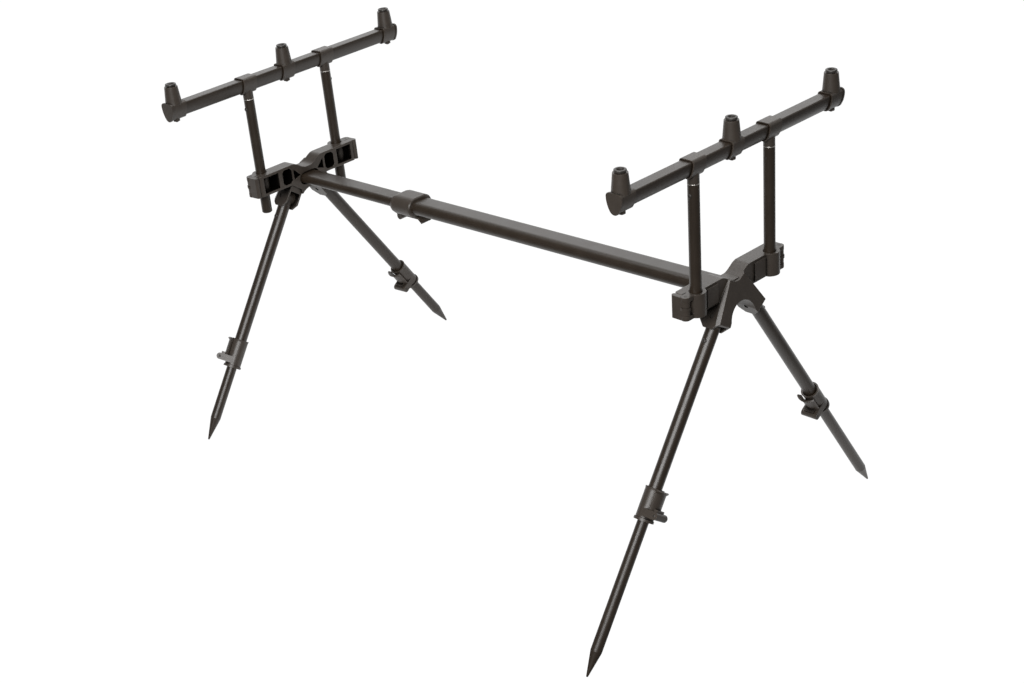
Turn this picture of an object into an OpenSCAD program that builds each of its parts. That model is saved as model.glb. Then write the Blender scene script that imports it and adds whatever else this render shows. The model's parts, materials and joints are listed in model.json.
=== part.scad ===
// Rod pod with two cross bars on height-adjustable uprights, a telescopic main bar and four folding legs.
// +X runs along the main bar to the front, +Y to the left and +Z up. The spike tips stand on Z = 0.

/* [Stance] */
// Distance between the front and rear uprights, along the main bar
hub_span = 866; // [700:1:1000]
// Distance between the two uprights of one cross bar
upright_span = 160; // [150:1:200]
// Outward lean of each hub and its uprights, in degrees
hub_lean = 1.9; // [0:0.1:4]
// Angle of a leg from the upright, in degrees
leg_splay = 35; // [30:0.5:40]
// Lower leg showing below the front leg clamps
front_leg_out = 219; // [130:1:230]
// Lower leg showing below the rear leg clamps
rear_leg_out = 120; // [60:1:230]
// Height of the front upright tube ends above the main bar
front_height = 180; // [150:1:185]
// Height of the rear upright tube ends above the main bar
rear_height = 150; // [140:1:170]

/* [Main bar] */
// Width of the outer flat-oval tube
bar_w = 40; // [36:0.5:46]
// Height of the outer flat-oval tube
bar_h = 20; // [18:0.5:22]
// Wall of the outer tube
bar_wall = 2.2; // [1.6:0.1:2.6]
// Wall of the inner tube
bar_inner_wall = 2; // [1.2:0.1:2.5]
// Length of the inner tube
bar_inner_len = 483; // [440:1:520]
// Distance from the rear uprights to the rear end of the bar clamp
bar_clamp_at = 226; // [200:1:300]
// Length of the bar clamp
bar_clamp_len = 46; // [44:1:60]
// Wall of the bar clamp
bar_clamp_wall = 5; // [4:0.25:6]
// Length of the glide on the end of the inner tube
bar_glide_len = 18; // [10:1:30]

/* [Uprights] */
// Diameter of an upright tube
upright_d = 16; // [14:0.5:17]
// Wall of an upright tube
upright_wall = 1.2; // [1:0.1:1.6]
// Length of an upright tube
upright_len = 186; // [170:1:200]
// Distance of the rivet below the top of an upright tube
upright_rivet_drop = 16; // [10:1:24]

/* [Cross bars] */
// Distance between the outer alarm sockets
socket_span = 440; // [400:1:480]
// Width of the cross bar's flat top
cross_w = 19; // [17:0.5:22]
// Height of the cross bar
cross_h = 22; // [18:0.5:24]
// Width of the cross bar's rounded bottom
cross_foot_w = 10; // [7:0.5:12]
// Wall of the cross bar
cross_wall = 1.8; // [1.4:0.1:2.4]
// Wall of the sleeves around the cross bar
sleeve_wall = 2.5; // [2:0.1:3.5]
// Length of a tee sleeve along the cross bar
tee_len = 26; // [22:1:36]
// Length of the neck between an upright tube and its tee sleeve
tee_neck = 8.5; // [6:0.5:14]
// Length of the spigot inside the top of an upright tube
spigot_len = 26; // [22:1:40]
// Length of the middle alarm socket along the cross bar
socket_len = 24; // [22:1:32]
// Extra width of the shield-shaped end of an outer socket
shield_lip = 0.8; // [0.4:0.1:2]
// Thickness of the shield-shaped end
shield_t = 3; // [2:0.25:5]
// Diameter of a socket tower at its foot
tower_foot_d = 25; // [22:0.5:26]
// Diameter of a socket tower at its top
tower_top_d = 20; // [18:0.5:21]
// Height of a socket tower above the cross bar
tower_h = 27; // [24:0.5:36]
// Diameter of the thread in a socket, 3/8 inch
thread_d = 9.525; // [8:0.005:10]
// Depth of the thread
thread_depth = 15; // [10:0.5:17]
// Diameter of the threaded insert's rim
insert_rim_d = 16.5; // [14:0.25:17]
// Height of the insert's rim above the tower
insert_rise = 4.2; // [3:0.2:6]

/* [Legs] */
// Diameter of an upper leg tube
leg_d = 19; // [17.5:0.5:20]
// Wall of an upper leg tube
leg_wall = 1.2; // [1:0.1:1.5]
// Wall of a lower leg tube
lower_wall = 1.2; // [1:0.1:1.5]
// Distance from the leg pivot to the bottom of the leg clamp
leg_clamp_reach = 285; // [250:1:320]
// Length of a leg clamp
leg_clamp_len = 46; // [42:1:56]
// Wall of a leg clamp
leg_clamp_wall = 3.2; // [2.5:0.1:4]
// Length of a lower leg tube
lower_len = 250; // [235:1:258]
// Length of the pointed part of a spike
spike_len = 36; // [24:1:50]
// Radius of the spike's blunted tip
spike_tip_r = 1.5; // [1:0.1:2.5]
// Diameter of a leg pivot pin
pivot_d = 6; // [5:0.25:7]
// Distance of the leg pivot from the middle of the hub
pivot_y = 37; // [35:0.5:42]
// Depth of the leg pivot below the main bar's middle
pivot_drop = 27; // [25:0.5:32]
// Distance of the leg rivet below the pivot
leg_rivet_drop = 34; // [30:1:40]

/* [Hubs] */
// Height of an arm's top above the main bar's middle
arm_top = 29; // [27:0.5:32]
// Depth of an arm's underside below the main bar's middle
arm_drop = 4; // [2:0.5:6]
// Reach of an arm from the uprights towards the middle of the pod
arm_inner = 20; // [18:0.5:24]
// Reach of an arm from the uprights away from the middle of the pod
arm_outer = 4; // [3:0.5:6]
// Thickness of ribs and flanges
rib_t = 4; // [3:0.25:5]
// Half width of the flat in the dip in the top of a hub
dip_foot = 4; // [2:0.5:8]
// Distance from the middle at which the dip reaches the arm's top
dip_ramp = 31; // [28:0.5:34]
// Thickness of the hub above the main bar, at the dip
dip_wall = 7.5; // [6:0.25:9]
// Wall around the main bar in the hub's socket
socket_wall = 6; // [5:0.25:7]
// Depth of the main bar in a hub beyond the uprights
bar_seat = 4; // [0:0.5:6]
// Radius of the boss around an upright
boss_r = 14; // [12.5:0.25:15]
// Thickness of the leg bracket's side walls
bracket_wall = 3.1; // [2.5:0.1:4]
// Reach of a leg bracket below the pivot
bracket_reach = 17; // [14:0.5:20]
// Depth of a leg bracket towards the middle of the pod
bracket_inner = 17; // [14:0.5:20]
// Distance of the bracket's outer face from the uprights, at the pivot
bracket_outer = 15.5; // [14.5:0.25:18]
// Slope of the bracket's outer face, in degrees
bracket_slope = 10; // [6:0.5:14]

/* [Clamp levers] */
// Diameter of a lever's hinge pin
lever_pin_d = 4; // [3:0.25:5]
// Thickness of a lever plate
lever_t = 3; // [2.5:0.1:4]
// Distance from an upright to its clamp lever's pin
clamp_pin_out = 21.5; // [21:0.25:24]
// Length of an upright clamp lever from its pin
clamp_lever_len = 20; // [18:0.5:24]
// Distance of a leg lever's pin from the leg's axis
leg_pin_out = 21.5; // [20.5:0.25:24]
// Distance of a leg lever's pin above the bottom of the clamp
leg_pin_up = 12; // [11:0.5:16]

/* [Fits] */
// Radial clearance of pins and sliding tubes
running = 0.05; // [0.02:0.01:0.08]
// Gap between moving faces that don't guide each other
gap = 0.3; // [0.2:0.05:0.4]

/* [Hidden] */

$fn = 64;
FRONT = 1;
REAR = -1;
LEFT = 1;
RIGHT = -1;
TUBE_COLOR = "#332e2a";
PLASTIC_COLOR = "#3d3a37";
METAL_COLOR = "#57524d";
// How far a cut runs past the face that it starts from
OVER = 1;
// Room that a cut leaves past the end of anything it has to clear
FAR = 60;

// Tubes
bar_inner_w = bar_w - 2 * bar_wall - 2 * gap;
bar_inner_h = bar_h - 2 * bar_wall - 2 * gap;
bar_clamp_x = bar_clamp_at - hub_span / 2;
// The outer tube's end stops this far inside the clamp
bar_tube_stop = 20;
bar_end_x = hub_span / 2 + bar_seat;
upright_r = upright_d / 2;
upright_inner_r = upright_r - upright_wall;
upright_y = upright_span / 2;
leg_r = leg_d / 2;
leg_inner_r = leg_r - leg_wall;
lower_r = leg_inner_r - gap;
lower_inner_r = lower_r - lower_wall;

// Legs
// Distance from the pivot to the top of the upper leg tube
leg_tube_top = 14;
leg_clamp_r = leg_r + leg_clamp_wall;
// The upper tube's end stops this far above the bottom of the clamp
leg_tube_stop = 9;
leg_clamp_lip = 1.4;
leg_clamp_lip_h = 3.5;
spike_spigot = 18;
rivet_r = 2;
rivet_head_r = 3.3;
rivet_head_h = 2;

// Hubs
arm_h = arm_top + arm_drop;
dip_top = bar_h / 2 + dip_wall;
socket_drop = bar_h / 2 + socket_wall;
bracket_half = leg_r + gap + bracket_wall;
inner_bevel = 9;
outer_bevel = 11.5;
// The outer bevel is centred this far beyond the bracket's face
nose_out = 2.5;
// Depth of the mouth around the main bar
hub_mouth = 9;
clamp_lug_t = 6.5;
clamp_lug_r = 6.5;
// The block inside a closed clamp lever ends here, clear of the lugs
clamp_block_x = -clamp_lug_r - 1;
// A closed clamp lever's inner face lies this far in from its pin
lever_face = 1.6;
// The front leg tips set the height of the pod, and both pairs set its pitch
front_leg_len = leg_clamp_reach + front_leg_out;
rear_leg_len = leg_clamp_reach + rear_leg_out;
function tip_x(side, len) =
    side * (hub_span / 2 - sin(hub_lean) * (pivot_drop + (len - spike_tip_r) * cos(leg_splay)));
function tip_z(len) = -cos(hub_lean) * (pivot_drop + (len - spike_tip_r) * cos(leg_splay));
front_tip = [tip_x(FRONT, front_leg_len), tip_z(front_leg_len)];
rear_tip = [tip_x(REAR, rear_leg_len), tip_z(rear_leg_len)];
pitch = atan2(rear_tip.y - front_tip.y, front_tip.x - rear_tip.x);
bar_height = spike_tip_r - (front_tip.x * sin(pitch) + front_tip.y * cos(pitch));

// Cross bars
cross_mid = tee_neck + sleeve_wall + cross_h / 2;
cross_top = cross_mid + cross_h / 2;
tower_top = cross_top + tower_h;
socket_y = socket_span / 2;
// The end cap stands this far past the foot of an outer tower
end_margin = 1.5;
// The outer sleeve reaches this far in from the foot of its tower
sleeve_margin = 2;
// The tower narrows again this far below the cross bar's top
tower_root = 4;
// Radius of the cross bar's two upper edges
shoulder_r = 2;
shield_end = socket_y + tower_foot_d / 2 + end_margin;
sleeve_end = shield_end - shield_t;
sleeve_start = socket_y - tower_foot_d / 2 - sleeve_margin;
insert_r = thread_d / 2 + 1.3;
insert_len = 19;
insert_neck = 1.2;
mouth_gap = 0.9;
mouth_depth = 2;
screw_head_r = 2.7;
screw_head_h = 1.4;
screw_r = 1.5;
// The boss under a socket that takes its screw
screw_boss_r = 5;
screw_boss_h = 2.4;
screw_seat = tee_neck - screw_boss_h;

// Leg clamp levers face outwards, half outwards or under the leg: degrees about the leg from outwards
LEVER_TURN = [[FRONT, RIGHT, 0], [FRONT, LEFT, -90], [REAR, RIGHT, 35], [REAR, LEFT, -90]];
function lever_turn(side, hand) = [for (row = LEVER_TURN) if (row[0] == side && row[1] == hand) row[2]][0];
function leg_len(side) = side == FRONT ? front_leg_len : rear_leg_len;
function tube_top(side) = side == FRONT ? front_height : rear_height;

// Frames

// The main bar's frame: its middle on the origin, pitched over the ground
module bar_frame() {
    translate([0, 0, bar_height])
        rotate([0, -pitch, 0])
            children();
}

// A hub's frame: X away from the pod's middle, Z along the uprights, origin on the main bar's middle
module hub_frame(side) {
    bar_frame()
        mirror([side == REAR ? 1 : 0, 0, 0])
            translate([hub_span / 2, 0, 0])
                rotate([0, hub_lean, 0])
                    children();
}

// One half of a hub: the left half as it is, the right half mirrored
module half(hand) {
    mirror([0, hand == RIGHT ? 1 : 0, 0])
        children();
}

// A leg's frame inside a hub's left half: origin on the pivot, Z up the leg, Y across the bracket
module leg_axis() {
    translate([0, pivot_y, -pivot_drop])
        rotate([leg_splay, 0, 0])
            children();
}

module leg_frame(side, hand) {
    hub_frame(side)
        half(hand)
            leg_axis()
                children();
}

// The same, turned so that X is the way the clamp lever faces
module lever_frame(side, hand) {
    leg_frame(side, hand)
        rotate([0, 0, lever_turn(side, hand)])
            translate([0, 0, -leg_clamp_reach])
                children();
}

// A cross bar's frame: as the hub's, with Z = 0 at the top of the upright tubes
module goal_frame(side) {
    hub_frame(side)
        translate([0, 0, tube_top(side)])
            children();
}

// Shared shapes

// A flat-oval prism along X, from x = 0
module flat_oval(w, h, len) {
    rotate([90, 0, 90])
        linear_extrude(len)
            union() {
                square([w - h, h], center = true);
                translate([(w - h) / 2, 0])
                    circle(h / 2);
                translate([-(w - h) / 2, 0])
                    circle(h / 2);
            }
}

// A flat-oval body along X with a turned outline: rows of x and half height
module turned_oval(w, h, rows) {
    shift = (w - h) / 2;
    first = rows[0];
    last = rows[len(rows) - 1];
    outline = concat([[0, first[0]]], [for (row = rows) [row[1], row[0]]], [[0, last[0]]]);
    for (y = [-shift, shift])
        translate([0, y, 0])
            rotate([0, 90, 0])
                rotate_extrude()
                    polygon(outline);
    translate([0, shift, 0])
        rotate([90, 0, 0])
            linear_extrude(2 * shift)
                polygon(concat(
                    [for (row = rows) row],
                    [for (i = [len(rows) - 1:-1:0]) [rows[i][0], -rows[i][1]]]
                ));
}

// A prism along X, from x0 to x1, of an outline drawn in Y and Z
module along_x(x0, x1) {
    translate([x0, 0, 0])
        rotate([90, 0, 90])
            linear_extrude(x1 - x0)
                children();
}

// Points on an arc, without its first one
function arc(x, z, r, from, to, steps) =
    [for (i = [1:steps]) let (turn = from + (to - from) * i / steps) [x + r * cos(turn), z + r * sin(turn)]];

// The right half of the cross bar's outline, grown by g: shoulder, bulging side and round foot
function shield_side(g) =
    let (
        half_w = cross_w / 2,
        foot_r = cross_foot_w / 2,
        shoulder_z = cross_h / 2 - shoulder_r,
        foot_z = foot_r - cross_h / 2,
        rise = shoulder_z - foot_z,
        side_r = (half_w * half_w + rise * rise - foot_r * foot_r) / (2 * (half_w - foot_r)),
        meet = -atan2(rise, side_r - half_w)
    )
    concat(
        [[half_w - shoulder_r, cross_h / 2 + g]],
        arc(half_w - shoulder_r, shoulder_z, shoulder_r + g, 90, 0, 5),
        arc(half_w - side_r, shoulder_z, side_r + g, 0, meet, 6),
        arc(0, foot_z, foot_r + g, meet, -90, 6)
    );

// The cross bar's shield section along Y, grown by g, centred on the bar's middle
module shield(g, y0, y1) {
    side = shield_side(g);
    translate([0, y1, 0])
        rotate([90, 0, 0])
            linear_extrude(y1 - y0)
                polygon(concat(side, [for (i = [len(side) - 2:-1:0]) [-side[i].x, side[i].y]]));
}

module tube(r, inner_r, len) {
    difference() {
        cylinder(h = len, r = r);
        translate([0, 0, -OVER])
            cylinder(h = len + 2 * OVER, r = inner_r);
    }
}

// A rivet along X with its round head past x = reach
module rivet(reach) {
    rotate([0, 90, 0])
        translate([0, 0, -reach])
            cylinder(h = 2 * reach, r = rivet_r);
    translate([reach, 0, 0])
        rotate([0, 90, 0])
            cylinder(h = rivet_head_h, r1 = rivet_head_r, r2 = rivet_head_r - rivet_head_h / 2);
}

// Hubs

// Outline of both arms and the middle, seen along the main bar
module arm_outline() {
    polygon(concat(
        [
            [-upright_y, -arm_drop], [-bracket_outline_y(), -arm_drop], [-bar_w / 2, -socket_drop],
            [bar_w / 2, -socket_drop], [bracket_outline_y(), -arm_drop], [upright_y, -arm_drop],
            [upright_y, arm_top]
        ],
        dip_line(),
        [[-upright_y, arm_top]]
    ));
}

// The wave of the dip in the hub's top, from left to right
function dip_wave(t) = dip_top + (arm_top - dip_top) * (1 - cos(180 * t)) / 2;
function dip_line() = concat(
    [for (t = [1:-1 / 8:0]) [dip_foot + (dip_ramp - dip_foot) * t, dip_wave(t)]],
    [for (t = [0:1 / 8:1]) [-dip_foot - (dip_ramp - dip_foot) * t, dip_wave(t)]]
);

// Where the leg bracket's outer side meets the underside of the arm
function bracket_outline_y() =
    pivot_y + (bracket_half - (pivot_drop - arm_drop) * sin(leg_splay)) / cos(leg_splay);

// One leg bracket before its slot is cut: a block along the leg, closed on the outside
module bracket_block() {
    root = 2 * pivot_drop;
    leg_axis()
        translate([-bracket_inner, -bracket_half, -bracket_reach])
            cube([bracket_inner + 2 * bracket_outer, 2 * bracket_half, bracket_reach + root]);
}

// The web between the two brackets, under the main bar
module bracket_web() {
    web_drop = 8;
    along_x(-arm_inner, FAR / 2)
        translate([-bar_w / 2, -socket_drop - web_drop])
            square([bar_w, web_drop]);
}

// The round arch under the web and between the brackets, rising towards the outside
module bracket_arch() {
    arch_r = 26.5;
    arch_wall = 2.2;
    arch_lean = 8;
    translate([bracket_outer, 0, -bar_h / 2 - arch_wall - arch_r])
        rotate([0, 90 - arch_lean, 0])
            cylinder(h = 4 * FAR, r = arch_r, center = true);
}

// The bevel along the outer edge of a bracket's face
module bracket_edge() {
    bevel = 2.4;
    bevel_turn = 62;
    lean = atan(cos(leg_splay) * tan(bracket_slope));
    edge_x = bracket_outer - bracket_half * sin(leg_splay) * tan(bracket_slope);
    leg_axis()
        translate([edge_x, bracket_half, 0])
            rotate([0, -lean, 0])
                rotate([0, 0, bevel_turn])
                    translate([-bevel, -FAR, -2 * FAR])
                        cube([FAR, 2 * FAR, 4 * FAR]);
}

// Everything above the dip in the top of a hub
module above_dip() {
    along_x(-FAR, FAR)
        polygon(concat(
            dip_line(),
            [
                [-upright_y, arm_top], [-upright_y, arm_top + FAR],
                [upright_y, arm_top + FAR], [upright_y, arm_top]
            ]
        ));
}

// Everything beyond the sloping outer face of the brackets
module beyond_bracket_face() {
    translate([bracket_outer, 0, -pivot_drop])
        rotate([0, -bracket_slope, 0])
            translate([0, -upright_span, -FAR - pivot_drop])
                cube([FAR, 2 * upright_span, 2 * FAR + 4 * pivot_drop]);
}

// The room that a leg needs from standing to folded along the main bar
module leg_room() {
    leg_axis() {
        room = leg_r + gap;
        translate([-FAR, -room, -FAR])
            cube([FAR, 2 * room, FAR + room]);
        translate([-OVER, -room, -FAR])
            cube([OVER + room, 2 * room, FAR]);
        rotate([90, 0, 0])
            cylinder(h = 2 * room, r = room, center = true);
    }
    difference() {
        leg_axis()
            translate([0, -leg_r - gap, -FAR])
                cube([FAR, 2 * leg_r + 2 * gap, FAR]);
        translate([-bracket_wall, 0, 0])
            beyond_bracket_face();
    }
}

// A bevel across a bracket's free corner, at x in the leg's frame
module bracket_bevel(x, bevel) {
    leg_axis()
        translate([x, 0, -bracket_reach])
            rotate([0, 45, 0])
                cube([bevel * sqrt(2), 4 * bracket_half, bevel * sqrt(2)], center = true);
}

// The pockets in an arm's inner face, between its flanges and ribs
module arm_pockets() {
    low = rib_t - arm_drop;
    high = arm_top - rib_t;
    rib_in = 18;
    first = rib_in;
    second = dip_ramp + rib_t;
    third = upright_y - boss_r - 3 * rib_t;
    fourth = third + 2 * rib_t;
    boss_wall = 3;
    end_window = 12;
    corner = 4;
    along_x(-arm_inner - OVER, 0)
        polygon([[first, low + 2 * corner], [dip_ramp, low + corner], [dip_ramp, high - corner]]);
    along_x(-arm_inner - OVER, 0)
        polygon([
            [second, low + corner], [second + corner, low], [third - corner, low], [third, low + corner],
            [third, high - corner], [third - corner, high], [second + corner, high], [second, high - corner]
        ]);
    difference() {
        union() {
            along_x(-arm_inner - OVER, 0)
                translate([fourth, low])
                    square([upright_y - fourth + OVER, high - low]);
            along_x(-arm_inner - OVER, clamp_block_x)
                translate([upright_y, low])
                    square([end_window, high - low]);
        }
        translate([0, upright_y, -arm_drop - OVER])
            cylinder(h = arm_h + 2 * OVER, r = upright_r + boss_wall);
    }
}

// The raised panel on an arm's outer face
module arm_panel() {
    margin = 3;
    panel_rise = 2;
    panel_in = bracket_outline_y() + margin;
    panel_out = upright_y - boss_r - margin;
    along_x(0, arm_outer + panel_rise)
        translate([panel_in, margin - arm_drop])
            square([panel_out - panel_in, arm_h - 2 * margin]);
}

// The boss around an upright, with two lugs for its clamp lever's pin
module arm_end() {
    corner = 2.5;
    block_y = upright_y + clamp_pin_out - lever_face - gap;
    translate([0, upright_y, -arm_drop])
        cylinder(h = arm_h, r = boss_r);
    translate([0, 0, -arm_drop])
        linear_extrude(arm_h)
            polygon([
                [-arm_inner, upright_y], [clamp_block_x, upright_y], [clamp_block_x, block_y],
                [-arm_inner + corner, block_y], [-arm_inner, block_y - corner]
            ]);
    for (z = [-arm_drop, arm_top - clamp_lug_t]) {
        translate([-clamp_lug_r, upright_y, z])
            cube([2 * clamp_lug_r, clamp_pin_out, clamp_lug_t]);
        translate([0, upright_y + clamp_pin_out, z])
            cylinder(h = clamp_lug_t, r = clamp_lug_r);
    }
}

// The holes for an upright, its clamp lever's pin and a leg's pivot pin
module half_holes() {
    lead_in = 1.5;
    bore_r = upright_r + running;
    translate([0, upright_y, -arm_drop - OVER])
        cylinder(h = arm_h + 2 * OVER, r = bore_r);
    translate([0, upright_y, arm_top - lead_in])
        cylinder(h = lead_in + OVER, r1 = bore_r, r2 = bore_r + lead_in + OVER);
    translate([0, upright_y + clamp_pin_out, -arm_drop - OVER])
        cylinder(h = arm_h + 2 * OVER, r = lever_pin_d / 2);
    leg_axis()
        rotate([90, 0, 0])
            cylinder(h = 2 * bracket_half + 2 * OVER, r = pivot_d / 2, center = true);
}

// A hub around the end of a flat-oval tube
module hub(side, tube_w, tube_h) {
    socket_w = bar_w + 2 * socket_wall;
    color(PLASTIC_COLOR)
        hub_frame(side)
            difference() {
                union() {
                    along_x(-arm_inner, arm_outer)
                        arm_outline();
                    difference() {
                        union() {
                            translate([-arm_inner, 0, 0])
                                flat_oval(socket_w, 2 * socket_drop, arm_inner + FAR / 2);
                            bracket_web();
                            for (hand = [LEFT, RIGHT])
                                half(hand)
                                    bracket_block();
                        }
                        beyond_bracket_face();
                        above_dip();
                        bracket_arch();
                        for (hand = [LEFT, RIGHT])
                            half(hand)
                                bracket_edge();
                    }
                    for (hand = [LEFT, RIGHT])
                        half(hand) {
                            arm_panel();
                            arm_end();
                        }
                }
                rotate([0, -hub_lean, 0]) {
                    translate([bar_seat - FAR, 0, 0])
                        flat_oval(tube_w, tube_h, FAR);
                    translate([hub_mouth - arm_inner - FAR, 0, 0])
                        flat_oval(bar_w, bar_h, FAR);
                }
                for (hand = [LEFT, RIGHT])
                    half(hand) {
                        arm_pockets();
                        leg_room();
                        bracket_bevel(-bracket_inner, inner_bevel);
                        bracket_bevel(bracket_outer + nose_out, outer_bevel);
                        half_holes();
                    }
            }
}

module leg_pins(side) {
    pin_recess = 1.2;
    color(METAL_COLOR)
        for (hand = [LEFT, RIGHT])
            leg_frame(side, hand)
                rotate([90, 0, 0])
                    cylinder(h = 2 * bracket_half - 2 * pin_recess, r = pivot_d / 2, center = true);
}

module clamp_pins(side) {
    color(METAL_COLOR)
        for (hand = [LEFT, RIGHT])
            hub_frame(side)
                half(hand)
                    translate([0, upright_y + clamp_pin_out, -arm_drop])
                        cylinder(h = arm_h, r = lever_pin_d / 2);
}

// An upright's clamp lever: a barrel and cam between the lugs, and a plate across the arm's end
module clamp_lever(side, hand) {
    barrel_r = clamp_lug_r - gap;
    barrel_z = clamp_lug_t - arm_drop + gap;
    barrel_h = arm_h - 2 * clamp_lug_t - 2 * gap;
    cam_r = clamp_pin_out - boss_r - gap;
    cam_h = 4;
    color(PLASTIC_COLOR)
        hub_frame(side)
            half(hand)
                translate([0, upright_y + clamp_pin_out, 0])
                    difference() {
                        union() {
                            translate([0, 0, barrel_z])
                                cylinder(h = barrel_h, r = barrel_r);
                            translate([0, 0, barrel_z + (barrel_h - cam_h) / 2])
                                cylinder(h = cam_h, r = cam_r);
                            lever_plate(barrel_r);
                        }
                        translate([0, 0, barrel_z - OVER])
                            cylinder(h = barrel_h + 2 * OVER, r = lever_pin_d / 2 + running);
                    }
}

// The plate of an upright's clamp lever, cut round where it passes the lugs
module lever_plate(barrel_r) {
    corner = 2.5;
    difference() {
        translate([0, 0, gap - arm_drop])
            linear_extrude(arm_h - 2 * gap)
                polygon([
                    [-clamp_lever_len, corner - lever_face], [corner - clamp_lever_len, -lever_face],
                    [0, -lever_face], [0, barrel_r],
                    [corner - clamp_lever_len, barrel_r], [-clamp_lever_len, barrel_r - corner]
                ]);
        for (z = [-arm_drop - OVER, arm_top - clamp_lug_t - gap])
            translate([0, 0, z])
                cylinder(h = clamp_lug_t + gap + OVER, r = clamp_lug_r + gap);
    }
}

// Main bar

module bar_outer_tube() {
    start = bar_clamp_x + bar_tube_stop;
    color(TUBE_COLOR)
        bar_frame()
            translate([start, 0, 0])
                difference() {
                    flat_oval(bar_w, bar_h, bar_end_x - start);
                    translate([-OVER, 0, 0])
                        flat_oval(bar_w - 2 * bar_wall, bar_h - 2 * bar_wall, bar_end_x - start + 2 * OVER);
                }
}

module bar_inner_tube() {
    color(TUBE_COLOR)
        bar_frame()
            translate([-bar_end_x, 0, 0])
                difference() {
                    flat_oval(bar_inner_w, bar_inner_h, bar_inner_len);
                    translate([-OVER, 0, 0])
                        flat_oval(bar_inner_w - 2 * bar_inner_wall, bar_inner_h - 2 * bar_inner_wall,
                            bar_inner_len + 2 * OVER);
                }
}

// A plug on the inner tube's end that guides it in the outer tube
module bar_glide() {
    flange = 5;
    guide = 2 * (gap - running);
    bore_w = bar_inner_w - 2 * bar_inner_wall;
    bore_h = bar_inner_h - 2 * bar_inner_wall;
    color(PLASTIC_COLOR)
        bar_frame()
            translate([bar_inner_len - bar_end_x, 0, 0]) {
                flat_oval(bar_inner_w + guide, bar_inner_h + guide, flange);
                translate([flange - bar_glide_len, 0, 0])
                    flat_oval(bore_w, bore_h, bar_glide_len);
            }
}

// The clamp's hinge line below its rear end
bar_hinge_x = 8;
bar_hinge_r = 5;
bar_hinge_room = 1;
bar_hinge_z = -(bar_h / 2 + bar_clamp_wall + bar_hinge_r + bar_hinge_room);
bar_lever_half = 6.5;
bar_ear_t = 4;

module bar_clamp() {
    body_w = bar_w + 2 * bar_clamp_wall;
    body_h = bar_h + 2 * bar_clamp_wall;
    nose = 10;
    rim = 1.5;
    half_h = body_h / 2;
    slit_t = 1.6;
    color(PLASTIC_COLOR)
        bar_frame()
            translate([bar_clamp_x, 0, 0])
                difference() {
                    union() {
                        turned_oval(body_w, body_h, [
                            [0, half_h - bar_clamp_wall], [nose / 4, half_h - bar_clamp_wall / 2],
                            [nose / 2, half_h - bar_clamp_wall / 4], [nose, half_h],
                            [bar_clamp_len - rim, half_h], [bar_clamp_len, half_h - rim]
                        ]);
                        for (y = [-bar_lever_half - gap - bar_ear_t, bar_lever_half + gap])
                            translate([bar_hinge_x, y, bar_hinge_z])
                                bar_ear();
                    }
                    translate([-OVER, 0, 0])
                        flat_oval(bar_inner_w + 2 * running, bar_inner_h + 2 * running, bar_clamp_len);
                    translate([bar_tube_stop, 0, 0])
                        flat_oval(bar_w, bar_h, bar_clamp_len);
                    translate([-OVER, -slit_t / 2, -body_h])
                        cube([bar_clamp_len - nose, slit_t, body_h - bar_inner_h / 4]);
                    translate([bar_hinge_x, 0, bar_hinge_z])
                        rotate([90, 0, 0])
                            cylinder(h = body_w, r = lever_pin_d / 2, center = true);
                }
}

module bar_ear() {
    translate([-bar_hinge_r, 0, 0])
        cube([2 * bar_hinge_r, bar_ear_t, -bar_hinge_z - bar_h / 2 - bar_clamp_wall / 2]);
    translate([0, bar_ear_t, 0])
        rotate([90, 0, 0])
            cylinder(h = bar_ear_t, r = bar_hinge_r);
}

module bar_lever_pin() {
    pin_half = bar_lever_half + gap + bar_ear_t;
    color(METAL_COLOR)
        bar_frame()
            translate([bar_clamp_x + bar_hinge_x, 0, bar_hinge_z])
                rotate([90, 0, 0])
                    cylinder(h = 2 * pin_half, r = lever_pin_d / 2, center = true);
}

// The flip lever under the bar clamp, with its lip turned down past the clamp's front end
module bar_lever() {
    plate_top = -(bar_h / 2 + bar_clamp_wall + gap) - bar_hinge_z;
    overhang = 2;
    plate_end = bar_clamp_len - bar_hinge_x + overhang;
    plate_half = bar_lever_half + bar_ear_t;
    plate_start = bar_hinge_r + gap;
    lip = 7;
    lip_t = 2;
    lip_end = plate_end + lip;
    color(PLASTIC_COLOR)
        bar_frame()
            translate([bar_clamp_x + bar_hinge_x, 0, bar_hinge_z])
                difference() {
                    union() {
                        rotate([90, 0, 0])
                            cylinder(h = 2 * bar_lever_half, r = bar_hinge_r, center = true);
                        translate([0, -bar_lever_half, plate_top - lever_t])
                            cube([plate_end, 2 * bar_lever_half, lever_t]);
                        translate([0, plate_half, 0])
                            rotate([90, 0, 0])
                                linear_extrude(2 * plate_half)
                                    polygon([
                                        [plate_start, plate_top], [plate_end, plate_top],
                                        [lip_end, plate_top - lip], [lip_end, plate_top - lip - lip_t],
                                        [plate_end, plate_top - lever_t], [plate_start, plate_top - lever_t]
                                    ]);
                    }
                    rotate([90, 0, 0])
                        cylinder(h = 2 * plate_half, r = lever_pin_d / 2 + running, center = true);
                }
}

// Uprights and cross bars

module uprights(side) {
    color(TUBE_COLOR)
        for (hand = [LEFT, RIGHT])
            goal_frame(side)
                half(hand)
                    translate([0, upright_y, -upright_len])
                        difference() {
                            tube(upright_r, upright_inner_r, upright_len);
                            translate([0, 0, upright_len - upright_rivet_drop])
                                rotate([90, 0, 0])
                                    cylinder(h = 2 * upright_d, r = rivet_r, center = true);
                        }
}

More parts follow.
